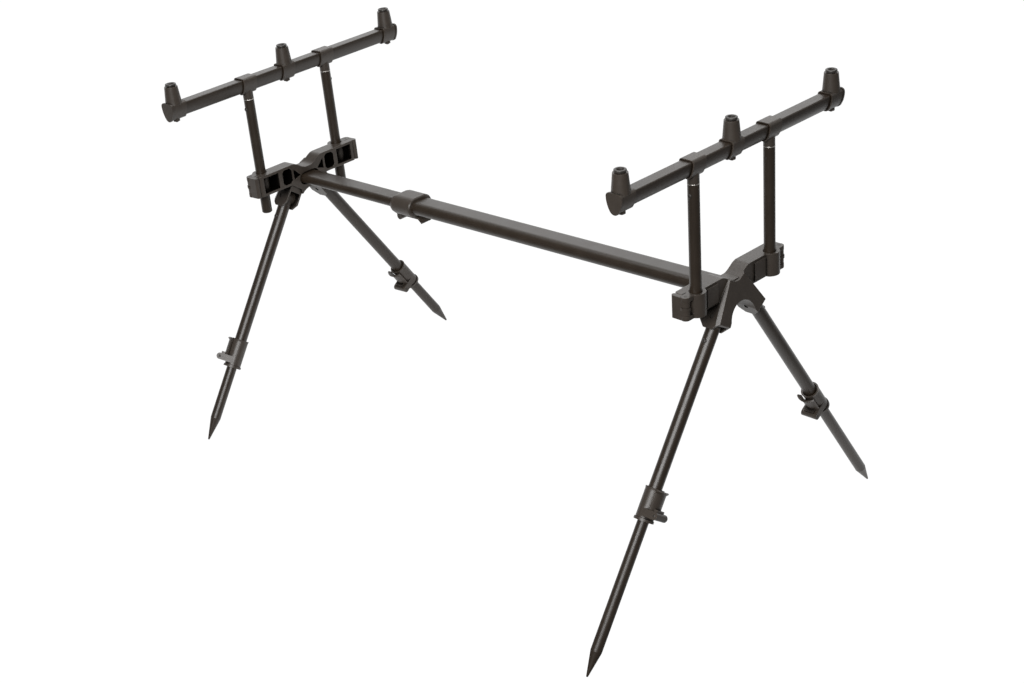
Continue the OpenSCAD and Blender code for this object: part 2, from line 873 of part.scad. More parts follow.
module upright_plugs(side) {
    plug_len = 12;
    plug_lip = 1.5;
    color(PLASTIC_COLOR)
        for (hand = [LEFT, RIGHT])
            goal_frame(side)
                half(hand)
                    translate([0, upright_y, -upright_len]) {
                        cylinder(h = plug_len, r = upright_inner_r);
                        translate([0, 0, -plug_lip])
                            cylinder(h = plug_lip, r1 = upright_r - plug_lip, r2 = upright_r - gap);
                    }
}

module upright_rivets(side) {
    color(METAL_COLOR)
        for (hand = [LEFT, RIGHT])
            goal_frame(side)
                half(hand)
                    translate([0, upright_y, -upright_rivet_drop])
                        rotate([0, 0, 90])
                            rivet(upright_r);
}

module cross_bar(side) {
    color(TUBE_COLOR)
        goal_frame(side)
            translate([0, 0, cross_mid])
                difference() {
                    shield(0, -sleeve_end, sleeve_end);
                    shield(-cross_wall, -sleeve_end - OVER, sleeve_end + OVER);
                }
}

// The wider mouth at one end of a sleeve
module sleeve_mouth(y) {
    translate([0, 0, cross_mid])
        shield(mouth_gap, y - mouth_depth, y + mouth_depth);
}

// A sleeve round the cross bar on a neck and a spigot that fills the top of an upright
module tee_sleeves(side) {
    color(PLASTIC_COLOR)
        for (hand = [LEFT, RIGHT])
            goal_frame(side)
                half(hand)
                    difference() {
                        union() {
                            translate([0, 0, cross_mid])
                                shield(sleeve_wall, upright_y - tee_len / 2, upright_y + tee_len / 2);
                            translate([0, upright_y, 0])
                                cylinder(h = cross_mid, r = upright_r);
                            translate([0, upright_y, -spigot_len])
                                cylinder(h = spigot_len, r = upright_inner_r);
                        }
                        translate([0, 0, cross_mid])
                            shield(0, upright_y - tee_len, upright_y + tee_len);
                        sleeve_mouth(upright_y - tee_len / 2);
                        sleeve_mouth(upright_y + tee_len / 2);
                        translate([0, upright_y, -upright_rivet_drop])
                            rotate([90, 0, 0])
                                cylinder(h = 2 * upright_d, r = rivet_r, center = true);
                    }
}

// The tapered tower of an alarm socket, and the boss for its screw under the sleeve
module tower(y) {
    translate([0, y, cross_top])
        rotate_extrude()
            polygon([
                [0, -tower_root], [tower_foot_d / 2 - tower_root, -tower_root], [tower_foot_d / 2, 0],
                [tower_top_d / 2, tower_h], [0, tower_h]
            ]);
    translate([0, y, screw_seat])
        cylinder(h = cross_mid - screw_seat, r = screw_boss_r);
}

// The seat of a socket's insert and its screw hole
module tower_cuts(y) {
    translate([0, y, tower_top - insert_len])
        cylinder(h = insert_len + OVER, r = insert_r);
    translate([0, y, 0])
        cylinder(h = cross_mid, r = screw_r);
}

module sockets(side) {
    color(PLASTIC_COLOR)
        goal_frame(side) {
            difference() {
                union() {
                    translate([0, 0, cross_mid])
                        shield(sleeve_wall, -socket_len / 2, socket_len / 2);
                    tower(0);
                }
                translate([0, 0, cross_mid])
                    shield(0, -socket_len, socket_len);
                sleeve_mouth(-socket_len / 2);
                sleeve_mouth(socket_len / 2);
                tower_cuts(0);
            }
            for (hand = [LEFT, RIGHT])
                half(hand)
                    difference() {
                        union() {
                            translate([0, 0, cross_mid])
                                shield(sleeve_wall, sleeve_start, sleeve_end);
                            translate([0, 0, cross_mid])
                                shield(sleeve_wall + shield_lip, sleeve_end, shield_end);
                            tower(socket_y);
                        }
                        translate([0, 0, cross_mid])
                            shield(0, 0, sleeve_end);
                        sleeve_mouth(sleeve_start);
                        tower_cuts(socket_y);
                    }
        }
}

// A threaded insert: its body in the tower, a groove and a rim above it
module inserts(side) {
    color(METAL_COLOR)
        for (y = [-socket_y, 0, socket_y])
            goal_frame(side)
                translate([0, y, tower_top])
                    difference() {
                        union() {
                            translate([0, 0, -insert_len])
                                cylinder(h = insert_len + insert_rise, r = insert_r);
                            translate([0, 0, insert_neck])
                                cylinder(h = insert_rise - insert_neck, r = insert_rim_d / 2);
                        }
                        translate([0, 0, insert_rise - thread_depth])
                            cylinder(h = thread_depth + OVER, r = thread_d / 2);
                    }
}

// The small screws that hold the sockets from below
module socket_screws(side) {
    color(METAL_COLOR)
        for (y = [-socket_y, 0, socket_y])
            goal_frame(side)
                translate([0, y, screw_seat]) {
                    cylinder(h = screw_boss_h + sleeve_wall, r = screw_r);
                    translate([0, 0, -screw_head_h])
                        cylinder(h = screw_head_h, r1 = screw_head_r - screw_head_h / 3, r2 = screw_head_r);
                }
}

// Legs

// The hinge eye on the pivot pin, with a spigot in the top of the leg tube
module leg_head(side, hand) {
    spigot = leg_rivet_drop + 3 * rivet_r;
    color(PLASTIC_COLOR)
        leg_frame(side, hand)
            difference() {
                union() {
                    rotate([90, 0, 0])
                        cylinder(h = leg_d, r = leg_r, center = true);
                    translate([0, 0, -leg_tube_top])
                        cylinder(h = leg_tube_top, r = leg_r);
                    translate([0, 0, -spigot])
                        cylinder(h = spigot, r = leg_inner_r);
                }
                rotate([90, 0, 0])
                    cylinder(h = 2 * leg_d, r = pivot_d / 2 + running, center = true);
                translate([0, 0, -leg_rivet_drop])
                    rotate([90, 0, 0])
                        cylinder(h = 2 * leg_d, r = rivet_r, center = true);
            }
}

module leg_tube(side, hand) {
    tube_end = leg_clamp_reach - leg_tube_stop;
    color(TUBE_COLOR)
        leg_frame(side, hand)
            difference() {
                translate([0, 0, -tube_end])
                    tube(leg_r, leg_inner_r, tube_end - leg_tube_top);
                translate([0, 0, -leg_rivet_drop])
                    rotate([90, 0, 0])
                        cylinder(h = 2 * leg_d, r = rivet_r, center = true);
            }
}

leg_lever_half = 8;
leg_ear_t = 4.5;
leg_hinge_r = 5.2;

// The rivet through the leg's head and the hinge pin of its clamp lever
module leg_fasteners(side, hand) {
    pin_half = leg_lever_half + gap + leg_ear_t;
    color(METAL_COLOR) {
        leg_frame(side, hand)
            translate([0, 0, -leg_rivet_drop])
                rotate([0, 0, 90])
                    rivet(leg_r);
        lever_frame(side, hand)
            translate([leg_pin_out, 0, leg_pin_up])
                rotate([90, 0, 0])
                    cylinder(h = 2 * pin_half, r = lever_pin_d / 2, center = true);
    }
}

// The split clamp on the end of the upper tube, with ears for its lever
module leg_clamp(side, hand) {
    slit_t = 1.6;
    top_r = leg_clamp_r + leg_clamp_lip / 2;
    color(PLASTIC_COLOR)
        lever_frame(side, hand)
            difference() {
                union() {
                    cylinder(h = leg_clamp_len, r = leg_clamp_r);
                    cylinder(h = leg_clamp_lip_h, r = leg_clamp_r + leg_clamp_lip);
                    translate([0, 0, leg_clamp_len - leg_clamp_lip_h])
                        cylinder(h = leg_clamp_lip_h, r1 = leg_clamp_r, r2 = top_r);
                    for (y = [-leg_lever_half - gap - leg_ear_t, leg_lever_half + gap])
                        translate([0, y, leg_pin_up])
                            leg_ear();
                }
                translate([0, 0, leg_tube_stop])
                    cylinder(h = leg_clamp_len, r = leg_r);
                translate([0, 0, leg_clamp_len - leg_clamp_lip_h])
                    cylinder(h = leg_clamp_len, r = leg_r + leg_clamp_lip);
                translate([0, 0, -OVER])
                    cylinder(h = leg_clamp_len, r = lower_r + running);
                translate([0, -slit_t / 2, -OVER])
                    cube([leg_pin_out, slit_t, leg_clamp_len - leg_clamp_lip_h]);
                translate([leg_pin_out, 0, leg_pin_up])
                    rotate([90, 0, 0])
                        cylinder(h = 4 * leg_clamp_r, r = lever_pin_d / 2, center = true);
            }
}

module leg_ear() {
    translate([0, 0, -leg_hinge_r])
        cube([leg_pin_out, leg_ear_t, 2 * leg_hinge_r]);
    translate([leg_pin_out, leg_ear_t, 0])
        rotate([90, 0, 0])
            cylinder(h = leg_ear_t, r = leg_hinge_r);
}

// The curved flip lever of a leg clamp, hinged at the bottom, with its lip flared at the top
module leg_lever(side, hand) {
    inner_r = leg_clamp_r + leg_clamp_lip + gap;
    outer_r = inner_r + lever_t;
    arc = 96;
    flare = 3;
    lip_t = 2;
    lip_rise = 1.5;
    foot = leg_pin_up + leg_hinge_r + gap;
    head = leg_clamp_len - lip_t;
    web_h = foot + lever_t - leg_pin_up;
    color(PLASTIC_COLOR)
        lever_frame(side, hand)
            difference() {
                union() {
                    rotate([0, 0, -arc / 2])
                        rotate_extrude(angle = arc)
                            polygon([
                                [inner_r, foot], [outer_r, foot], [outer_r, head - flare],
                                [outer_r + flare, head], [outer_r + flare - lip_t, head + lip_rise],
                                [outer_r - lever_t / 2, head - flare / 2], [inner_r, head - flare]
                            ]);
                    translate([inner_r, -leg_lever_half, leg_pin_up])
                        cube([leg_pin_out - inner_r, 2 * leg_lever_half, web_h]);
                    translate([leg_pin_out, 0, leg_pin_up])
                        rotate([90, 0, 0])
                            cylinder(h = 2 * leg_lever_half, r = leg_hinge_r, center = true);
                }
                translate([leg_pin_out, 0, leg_pin_up])
                    rotate([90, 0, 0])
                        cylinder(h = 4 * leg_lever_half, r = lever_pin_d / 2 + running, center = true);
            }
}

module lower_leg(side, hand) {
    color(TUBE_COLOR)
        leg_frame(side, hand)
            translate([0, 0, spike_len - leg_len(side)])
                tube(lower_r, lower_inner_r, lower_len);
}

// The pointed foot, plugged into the lower tube
module spike(side, hand) {
    color(METAL_COLOR)
        leg_frame(side, hand)
            translate([0, 0, spike_len - leg_len(side)]) {
                cylinder(h = spike_spigot, r = lower_inner_r);
                translate([0, 0, spike_tip_r - spike_len]) {
                    cylinder(h = spike_len - spike_tip_r, r1 = spike_tip_r, r2 = lower_r);
                    sphere(spike_tip_r);
                }
            }
}

module goal(side, name) {
    uprights(side);
    upright_plugs(side);
    upright_rivets(side);
    tee_sleeves(side);
    cross_bar(side);
    sockets(side);
    inserts(side);
    socket_screws(side);
}

module leg(side, hand, name) {
    clamp_lever(side, hand);
    leg_head(side, hand);
    leg_tube(side, hand);
    leg_fasteners(side, hand);
    leg_clamp(side, hand);
    leg_lever(side, hand);
    lower_leg(side, hand);
    spike(side, hand);
}

hub(FRONT, bar_w, bar_h);  // front_hub
hub(REAR, bar_inner_w, bar_inner_h);  // rear_hub
leg_pins(FRONT);  // front_leg_pins
leg_pins(REAR);  // rear_leg_pins
clamp_pins(FRONT);  // front_clamp_pins
clamp_pins(REAR);  // rear_clamp_pins
bar_outer_tube();
bar_inner_tube();
bar_glide();
bar_clamp();
bar_lever();
bar_lever_pin();
goal(FRONT, "front");
goal(REAR, "rear");
leg(FRONT, LEFT, "front_left");
leg(FRONT, RIGHT, "front_right");
leg(REAR, LEFT, "rear_left");
leg(REAR, RIGHT, "rear_right");
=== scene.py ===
import json
import math

import bpy
from mathutils import Matrix, Vector


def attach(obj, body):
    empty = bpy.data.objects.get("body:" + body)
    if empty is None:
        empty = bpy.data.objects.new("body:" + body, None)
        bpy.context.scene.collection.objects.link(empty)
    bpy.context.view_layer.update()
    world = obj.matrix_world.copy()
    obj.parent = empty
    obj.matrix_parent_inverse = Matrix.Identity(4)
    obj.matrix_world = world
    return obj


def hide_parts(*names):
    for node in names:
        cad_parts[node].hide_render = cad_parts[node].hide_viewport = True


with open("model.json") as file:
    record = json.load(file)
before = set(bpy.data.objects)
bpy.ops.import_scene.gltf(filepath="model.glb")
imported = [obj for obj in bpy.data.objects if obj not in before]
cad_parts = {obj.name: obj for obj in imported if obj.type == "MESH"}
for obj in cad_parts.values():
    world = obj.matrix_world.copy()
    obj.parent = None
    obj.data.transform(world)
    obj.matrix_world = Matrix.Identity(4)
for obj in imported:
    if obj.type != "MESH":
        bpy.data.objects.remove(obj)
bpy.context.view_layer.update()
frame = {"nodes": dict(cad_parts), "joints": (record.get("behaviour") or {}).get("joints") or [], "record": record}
nodes = frame["nodes"]
record = frame["record"]
joints = {joint["name"]: joint for joint in frame["joints"]}
mounts = {mount["name"]: mount for mount in record["mounts"]}
body_of = {node: body for body, names in record["behaviour"]["bodies"].items() for node in names}
slot_of = {subpart["node"]: subpart["material_slot"] for subpart in record["subparts"]}
ENDS = ("front", "rear")
LEGS = ("front_left", "front_right", "rear_left", "rear_right")
LEFT = Vector((0, 1, 0))
SIDES = (LEFT, Vector((0, -1, 0)))
MM = 0.001


def way(joint):
    """The direction of a joint's axis."""
    return Vector(joints[joint]["axis"])


# Camera: its place in metres and its turn in degrees

IMAGE_WIDTH = 1024
FOCAL_PIXELS = 2039.2
SENSOR_WIDTH = 36.0
CAMERA_PLACE = (1.86506, -1.95683, 1.67798)
CAMERA_TURN = (61.4226, 0.7549, 42.8151)
CAMERA_REACH = 30

camera_data = bpy.data.cameras.new("camera")
camera_data.sensor_width = SENSOR_WIDTH
camera_data.lens = FOCAL_PIXELS / IMAGE_WIDTH * SENSOR_WIDTH
camera_data.clip_end = CAMERA_REACH
camera = bpy.data.objects.new("camera", camera_data)
camera.location = CAMERA_PLACE
camera.rotation_euler = [math.radians(angle) for angle in CAMERA_TURN]
bpy.context.scene.collection.objects.link(camera)
bpy.context.scene.camera = camera


# Shader helpers

class Wire:
    """A value in a node tree; sums and products of wires and numbers become Math nodes."""

    def __init__(self, tree, socket=None):
        self.tree = tree
        self.socket = socket

    def add(self, kind, settings=None, output=0, **inputs):
        """A node of any type: its settings first, then its sockets; gives one of its outputs."""
        node = self.tree.nodes.new(kind)
        for key, value in (settings or {}).items():
            setattr(node, key, value)
        for key, value in inputs.items():
            socket = node.inputs[int(key[1:]) if key[0] == "_" else key]
            if isinstance(value, Wire):
                self.tree.links.new(value.socket, socket)
            else:
                socket.default_value = value
        return Wire(self.tree, node.outputs[output])

    def maths(self, operation, first, second):
        return self.add("ShaderNodeMath", {"operation": operation}, _0=first, _1=second)

    def __add__(self, other):
        return self.maths("ADD", self, other)

    def __radd__(self, other):
        return self.maths("ADD", other, self)

    def __sub__(self, other):
        return self.maths("SUBTRACT", self, other)

    def __rsub__(self, other):
        return self.maths("SUBTRACT", other, self)

    def __mul__(self, other):
        return self.maths("MULTIPLY", self, other)

    def __rmul__(self, other):
        return self.maths("MULTIPLY", other, self)

    def mix(self, first, second):
        """A colour between two, by this value."""
        return self.add("ShaderNodeMix", {"data_type": "RGBA"}, 2, _0=self, _6=first, _7=second)

    def between(self, low, high):
        """This value stretched so that low is 0 and high is 1, and kept inside."""
        return self.add("ShaderNodeMapRange", {"clamp": True}, _0=self, _1=low, _2=high)

    def dot(self, other):
        """How far this vector points along another."""
        return self.add("ShaderNodeVectorMath", {"operation": "DOT_PRODUCT"}, "Value", _0=self, _1=other)

    def noise(self, scale, detail, rough):
        """Noise at this place."""
        return self.add("ShaderNodeTexNoise", Vector=self, Scale=scale, Detail=detail, Roughness=rough)

    def bump(self, strength, depth):
        """The normal of a surface that has this height."""
        return self.add("ShaderNodeBump", Strength=strength, Distance=depth, Height=self)

    def feed(self, node, socket):
        self.tree.links.new(self.socket, node.inputs[socket])


def finish_tree(name):
    """A new material, its shader and a wire with the place on the piece."""
    material = bpy.data.materials.new(name)
    material.use_nodes = True
    tree = material.node_tree
    place = Wire(tree).add("ShaderNodeTexCoord", None, "Object")
    return material, tree.nodes["Principled BSDF"], place


# Finishes: colours from dark to light, and the stretches of noise that are used

BRONZE = ((0.017, 0.0112, 0.007, 1), (0.024, 0.0165, 0.0105, 1))
NYLON = ((0.03, 0.0232, 0.018, 1), (0.046, 0.0365, 0.029, 1))
# Near black that is painted into the nylon's recesses as painted shade
NYLON_PAINTED_SHADE = (0.005, 0.0042, 0.0036, 1)
INSERT_METAL = ((0.028, 0.025, 0.022, 1), (0.05, 0.045, 0.04, 1))
FIXING_METAL = ((0.022, 0.019, 0.016, 1), (0.04, 0.034, 0.029, 1))
BARE_METAL = ((0.42, 0.4, 0.37, 1), (0.62, 0.6, 0.57, 1))
SPREAD = (0.3, 0.7)
WIDE_SPREAD = (0.25, 0.75)
NARROW_SPREAD = (0.35, 0.65)


def anodised(name, direction):
    """Dark bronze anodising on a drawn tube: faint lines along the tube and a soft mottle."""
    line_stretch = 0.012
    line_share = 0.3
    base_rough = 0.31
    line_rough = 0.05
    mottle_rough = 0.05
    material, shader, place = finish_tree(name)
    to_z = direction.rotation_difference(Vector((0, 0, 1))).to_euler()
    along = place.add("ShaderNodeMapping", {"vector_type": "POINT"}, Vector=place, Rotation=to_z,
                      Scale=(1, 1, line_stretch))
    lines = along.noise(scale=1400, detail=2, rough=0.5)
    mottle = place.noise(scale=38, detail=4, rough=0.55)
    dust = place.noise(scale=900, detail=2, rough=0.5)
    tone = lines.between(*SPREAD) * line_share + mottle.between(*SPREAD) * (1 - line_share)
    rough = base_rough + lines.between(*WIDE_SPREAD) * line_rough + mottle.between(*SPREAD) * mottle_rough
    height = lines * line_share + dust * (1 - line_share)
    tone.mix(*BRONZE).feed(shader, "Base Color")
    rough.feed(shader, "Roughness")
    height.bump(strength=0.008, depth=0.0003).feed(shader, "Normal")
    return material


def moulded(name):
    """Glass-filled nylon: a fine grain and a slow flow mottle; painted shade in recesses, near black and metallic
    so that they take no diffuse light; and edges painted lighter, partly wear and partly a painted highlight.
    """
    edge_width = 0.0009
    edge_bend = (0.01, 0.16)
    rub_patches = (0.35, 0.6)
    edge_lightening_gain = 1.7
    painted_shade_reach = 0.03
    painted_shade_depth = (0.22, 0.5)
    grain_share = 0.45
    base_rough = 0.35
    grain_rough = 0.08
    rub_shine = 0.06
    painted_shade_rough = 0.35
    material, shader, place = finish_tree(name)
    normal = place.add("ShaderNodeNewGeometry", None, "Normal")
    rounded = place.add("ShaderNodeBevel", {"samples": 6}, Radius=edge_width)
    open_air = place.add("ShaderNodeAmbientOcclusion", {"samples": 8, "only_local": True}, "AO",
                         Distance=painted_shade_reach)
    grain = place.noise(scale=1500, detail=3, rough=0.6)
    flow = place.noise(scale=55, detail=5, rough=0.6)
    # Edges painted lighter: partly wear in patches, partly a painted highlight on the rounded edges
    edge_wear_and_highlight = (1 - normal.dot(rounded)).between(*edge_bend) * flow.between(*rub_patches)
    wear_and_highlight_colour = tuple(channel * edge_lightening_gain for channel in NYLON[1][:3]) + (1,)
    # Painted shade: where the AO node finds a recess, the colour goes near black
    recess_painted_shade = (1 - open_air).between(*painted_shade_depth)
    tone = grain.between(*NARROW_SPREAD) * grain_share + flow.between(*SPREAD) * (1 - grain_share)
    surface = edge_wear_and_highlight.mix(tone.mix(*NYLON), wear_and_highlight_colour)
    rough = base_rough + grain.between(*SPREAD) * grain_rough - edge_wear_and_highlight * rub_shine + recess_painted_shade * painted_shade_rough
    recess_painted_shade.mix(surface, NYLON_PAINTED_SHADE).feed(shader, "Base Color")
    rough.feed(shader, "Roughness")
    # Painted shade: recesses turn metallic so that their dark colour takes no diffuse light
    recess_painted_shade.feed(shader, "Metallic")
    grain.bump(strength=0.1, depth=0.0003).feed(shader, "Normal")
    return material


def blackened(name, colours, base_rough):
    """Blackened metal of pins, rivets, screws and inserts: a thin oxide with small bright scuffs."""
    cloud_rough = 0.12
    scuff_peaks = (0.58, 0.75)
    scuff_metal = 0.5
    oxide_metal = 0.25
    material, shader, place = finish_tree(name)
    cloud = place.noise(scale=260, detail=4, rough=0.6)
    scuff = place.noise(scale=1500, detail=2, rough=0.5)
    cloud.between(*SPREAD).mix(*colours).feed(shader, "Base Color")
    (base_rough + cloud.between(*SPREAD) * cloud_rough).feed(shader, "Roughness")
    (scuff.between(*scuff_peaks) * scuff_metal + oxide_metal).feed(shader, "Metallic")
    scuff.bump(strength=0.1, depth=0.0002).feed(shader, "Normal")
    return material


def bare(name):
    """Bare aluminium of a cut tube end: fine turning marks on a bright metal."""
    base_rough = 0.28
    mark_rough = 0.14
    material, shader, place = finish_tree(name)
    marks = place.noise(scale=1800, detail=2, rough=0.5).between(*SPREAD)
    marks.mix(*BARE_METAL).feed(shader, "Base Color")
    (base_rough + marks * mark_rough).feed(shader, "Roughness")
    shader.inputs["Metallic"].default_value = 1.0
    return material


slot_finish = {
    "moulding": moulded("moulding"),
    "insert": blackened("insert", INSERT_METAL, base_rough=0.32),
    "fixing": blackened("fixing", FIXING_METAL, base_rough=0.4),
}
tube_end_finish = bare("bare_tube_end")
tube_finish = {
    "main_bar": anodised("main_bar_tube", way("bar_slide")),
    "cross_bar": anodised("cross_bar_tube", LEFT),
}
for end in ENDS:
    tube_finish[end] = anodised(end + "_upright_tube", way(end + "_height_slide"))
for leg in LEGS:
    tube_finish[leg] = anodised(leg + "_leg_tube", way(leg + "_foot_slide"))


def node_finish(node):
    """A moulding, an insert or a fixing goes by its slot, and a tube by the way that it was drawn."""
    if slot_of[node] in slot_finish:
        return slot_finish[slot_of[node]]
    if node.endswith("cross_bar"):
        return tube_finish["cross_bar"]
    for start in LEGS + ENDS:
        if node.startswith(start):
            return tube_finish[start]
    return tube_finish["main_bar"]


for node, part in nodes.items():
    part.data.materials.clear()
    part.data.materials.append(node_finish(node))


# Modelling helpers

def deselect():
    if bpy.context.object and bpy.context.object.mode != "OBJECT":
        bpy.ops.object.mode_set(mode="OBJECT")
    bpy.ops.object.select_all(action="DESELECT")


def take(piece):
    """Only this piece selected and active."""
    deselect()
    piece.select_set(True)
    bpy.context.view_layer.objects.active = piece


def scrap(*pieces):
    for piece in pieces:
        take(piece)
        bpy.ops.object.delete()


def carry(piece, node):
    """A piece that stands for a CAD node: it rides on the node's body and takes its slot and finish."""
    piece.data.materials.clear()
    piece.data.materials.append(node_finish(node))
    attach(piece, body_of[node])
    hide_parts(node)


# Rounding and smoothing: angles in degrees, and the gap within which corners merge in mm

SMOOTH_ANGLE = 32
HUB_SMOOTH_ANGLE = 24
SHARP_ANGLE = 28
FLAT_ANGLE = 0.8
MERGE_GAP = 0.02
ROUND_STEPS = 2
HUB_ROUND_STEPS = 3


def smooth(piece, angle=SMOOTH_ANGLE):
    take(piece)
    bpy.ops.object.shade_smooth_by_angle(angle=math.radians(angle))


def softened(node, width):
    """A copy of a CAD node with its sharp edges rounded, finer on a hub; it stands for the node."""
    hub = node.endswith("hub")
    take(nodes[node])
    bpy.ops.object.duplicate()
    piece = bpy.context.object
    piece.name = node + "_rounded"
    bpy.ops.object.mode_set(mode="EDIT")
    bpy.ops.mesh.select_all(action="SELECT")
    bpy.ops.mesh.remove_doubles(threshold=MERGE_GAP * MM)
    bpy.ops.mesh.dissolve_limited(angle_limit=math.radians(FLAT_ANGLE), delimit={"NORMAL"})
    bpy.ops.object.mode_set(mode="OBJECT")
    rounding = piece.modifiers.new("rounding", "BEVEL")
    rounding.width = width * MM
    rounding.segments = HUB_ROUND_STEPS if hub else ROUND_STEPS
    rounding.limit_method = "ANGLE"
    rounding.angle_limit = math.radians(SHARP_ANGLE)
    rounding.use_clamp_overlap = not hub
    bpy.ops.object.modifier_apply(modifier=rounding.name)
    smooth(piece, HUB_SMOOTH_ANGLE if hub else SMOOTH_ANGLE)
    flats = piece.modifiers.new("flats", "WEIGHTED_NORMAL")
    flats.keep_sharp = True
    bpy.ops.object.modifier_apply(modifier=flats.name)
    carry(piece, node)


def turned(name, rows, sides):
    """A turned piece on Z: a disc drawn out row by row, each row a radius and a height in mm."""
    radius, height = rows[0]
    deselect()
    bpy.ops.mesh.primitive_circle_add(vertices=sides, radius=radius * MM, fill_type="NGON",
                                      location=(0, 0, height * MM))
    piece = bpy.context.object
    piece.name = name
    bpy.ops.object.transform_apply(location=True, rotation=True, scale=True)
    bpy.ops.object.mode_set(mode="EDIT")
    bpy.ops.mesh.select_all(action="SELECT")
    for wide, high in rows[1:]:
        bpy.ops.mesh.extrude_region_move(TRANSFORM_OT_translate={"value": (0, 0, (high - height) * MM)})
        bpy.ops.transform.resize(value=(wide / radius, wide / radius, 1), center_override=(0, 0, 0))
        radius, height = wide, high
    bpy.ops.mesh.select_all(action="SELECT")
    bpy.ops.mesh.normals_make_consistent(inside=False)
    bpy.ops.object.mode_set(mode="OBJECT")
    return piece


def stood(piece, place, up, ahead):
    """A copy of a piece at a place, with its Z turned one way and its X another."""
    take(piece)
    bpy.ops.object.duplicate()
    copy = bpy.context.object
    z = up.normalized()
    y = z.cross(ahead).normalized()
    turn = Matrix((y.cross(z), y, z)).transposed().to_4x4()
    copy.matrix_world = Matrix.Translation(place) @ turn
    bpy.ops.object.transform_apply(location=True, rotation=True, scale=True)
    return copy


def joined(name, pieces):
    """Several pieces made one, with its round sides smooth."""
    take(pieces[0])
    for piece in pieces:
        piece.select_set(True)
    bpy.ops.object.join()
    pieces[0].name = name
    smooth(pieces[0])
    return pieces[0]


# Rounded edges: their width in mm, by the end of the node's name

EDGE_WIDTHS = {
    "hub": 0.5,
    "clamp_lever": 0.7,
    "tee_sleeves": 1.3,
    "sockets": 1.3,
    "leg_head": 0.8,
    "leg_clamp": 0.5,
    "leg_lever": 0.6,
    "bar_clamp": 0.8,
    "bar_lever": 0.6,
    "cross_bar": 0.7,
    "upright_plugs": 0.5,
}

for node in nodes:
    for ending, width in EDGE_WIDTHS.items():
        if node.endswith(ending):
            softened(node, width)


# Sizes that the fixings share, in mm

UPRIGHT_R = 8
LEG_R = 9.5
INSERT_SIDES = 48
FIXING_SIDES = 32
LIP_SIDES = 64


# Threaded inserts, with heights from the rim: each turn of the thread is a ring

BARREL_R = 6.06
BARREL_END = -23.2
FLANGE_R = 8.25
FLANGE_FOOT = -3.0
FLANGE_CORNER = 0.5
RIM_FOOT = -0.8
RIM_EASE = 0.25
MOUTH_R = 5.6
THREAD_R = 4.76
CREST_R = 4.05
THREAD_PITCH = 1.5875
THREAD_TURNS = 8
THREAD_TOP = -1.2
BORE_END = -15.0
CREST_START = 0.35 * THREAD_PITCH
CREST_END = 0.5 * THREAD_PITCH
ROOT_START = 0.9 * THREAD_PITCH

insert_rows = [
    (BARREL_R, BARREL_END),
    (BARREL_R, FLANGE_FOOT),
    (FLANGE_R - FLANGE_CORNER, FLANGE_FOOT),
    (FLANGE_R, FLANGE_FOOT + FLANGE_CORNER),
    (FLANGE_R, RIM_FOOT),
    (FLANGE_R - RIM_EASE, -RIM_EASE),
    (FLANGE_R - 3 * RIM_EASE, 0),
    (MOUTH_R, 0),
    (THREAD_R, RIM_FOOT),
]
for turn in range(THREAD_TURNS):
    top = THREAD_TOP - turn * THREAD_PITCH
    insert_rows += [
        (CREST_R, top - CREST_START),
        (CREST_R, top - CREST_END),
        (THREAD_R, top - ROOT_START),
    ]
insert_rows.append((THREAD_R, BORE_END))
insert = turned("insert", insert_rows, INSERT_SIDES)


# Pan-head screws under the sockets, with a cross recess

SCREW_R = 1.5
SCREW_LENGTH = 2.5
SCREW_HEAD_R = 2.7
SCREW_HEAD_RISE = 2.0
PAN_EDGE = 0.5
PAN_CURVE = [(2.5, 1.1), (2.0, 1.6), (1.2, 1.9), (0.4, SCREW_HEAD_RISE)]
CROSS_WIDTH = 0.62
CROSS_LENGTH = 2.9
CROSS_TALL = 2.2

screw_rows = [(SCREW_R, -SCREW_LENGTH), (SCREW_R, 0), (SCREW_HEAD_R, 0), (SCREW_HEAD_R, PAN_EDGE)]
screw = turned("screw", screw_rows + PAN_CURVE, FIXING_SIDES)
for wide, deep in ((CROSS_WIDTH, CROSS_LENGTH), (CROSS_LENGTH, CROSS_WIDTH)):
    deselect()
    bpy.ops.mesh.primitive_cube_add(size=1, location=(0, 0, SCREW_HEAD_RISE * MM))
    blade = bpy.context.object
    bpy.ops.transform.resize(value=(wide * MM, deep * MM, CROSS_TALL * MM))
    bpy.ops.object.transform_apply(location=True, rotation=True, scale=True)
    take(screw)
    cross = screw.modifiers.new("recess_painted_shade", "BOOLEAN")
    cross.object = blade
    bpy.ops.object.modifier_apply(modifier=cross.name)
    scrap(blade)


# Rivets, with heights from the tube's side, and the lever pins

RIVET_R = 2.0
RIVET_HEAD_R = 3.3
RIVET_SEAT = -0.8
DOME_EDGE = 0.35
DOME_CURVE = [(3.05, 1.0), (2.5, 1.5), (1.6, 1.86), (0.5, 2.0)]
PIN_R = 2.0
PIN_END_R = 1.2
PIN_HALF_LENGTH = 12.5
PIN_EASE = 0.4


def rivet(name, tube_r):
    shank = [(RIVET_R, -2 * tube_r), (RIVET_R, RIVET_SEAT)]
    head = [(RIVET_HEAD_R, RIVET_SEAT), (RIVET_HEAD_R, DOME_EDGE)]
    return turned(name, shank + head + DOME_CURVE, FIXING_SIDES)


upright_rivet = rivet("upright_rivet", UPRIGHT_R)
leg_rivet = rivet("leg_rivet", LEG_R)
pin_rows = [
    (PIN_END_R, -PIN_HALF_LENGTH - PIN_EASE),
    (PIN_R, -PIN_HALF_LENGTH),
    (PIN_R, PIN_HALF_LENGTH),
    (PIN_END_R, PIN_HALF_LENGTH + PIN_EASE),
]
lever_pin = turned("lever_pin", pin_rows, FIXING_SIDES)


# Bare rolled lips around the uprights

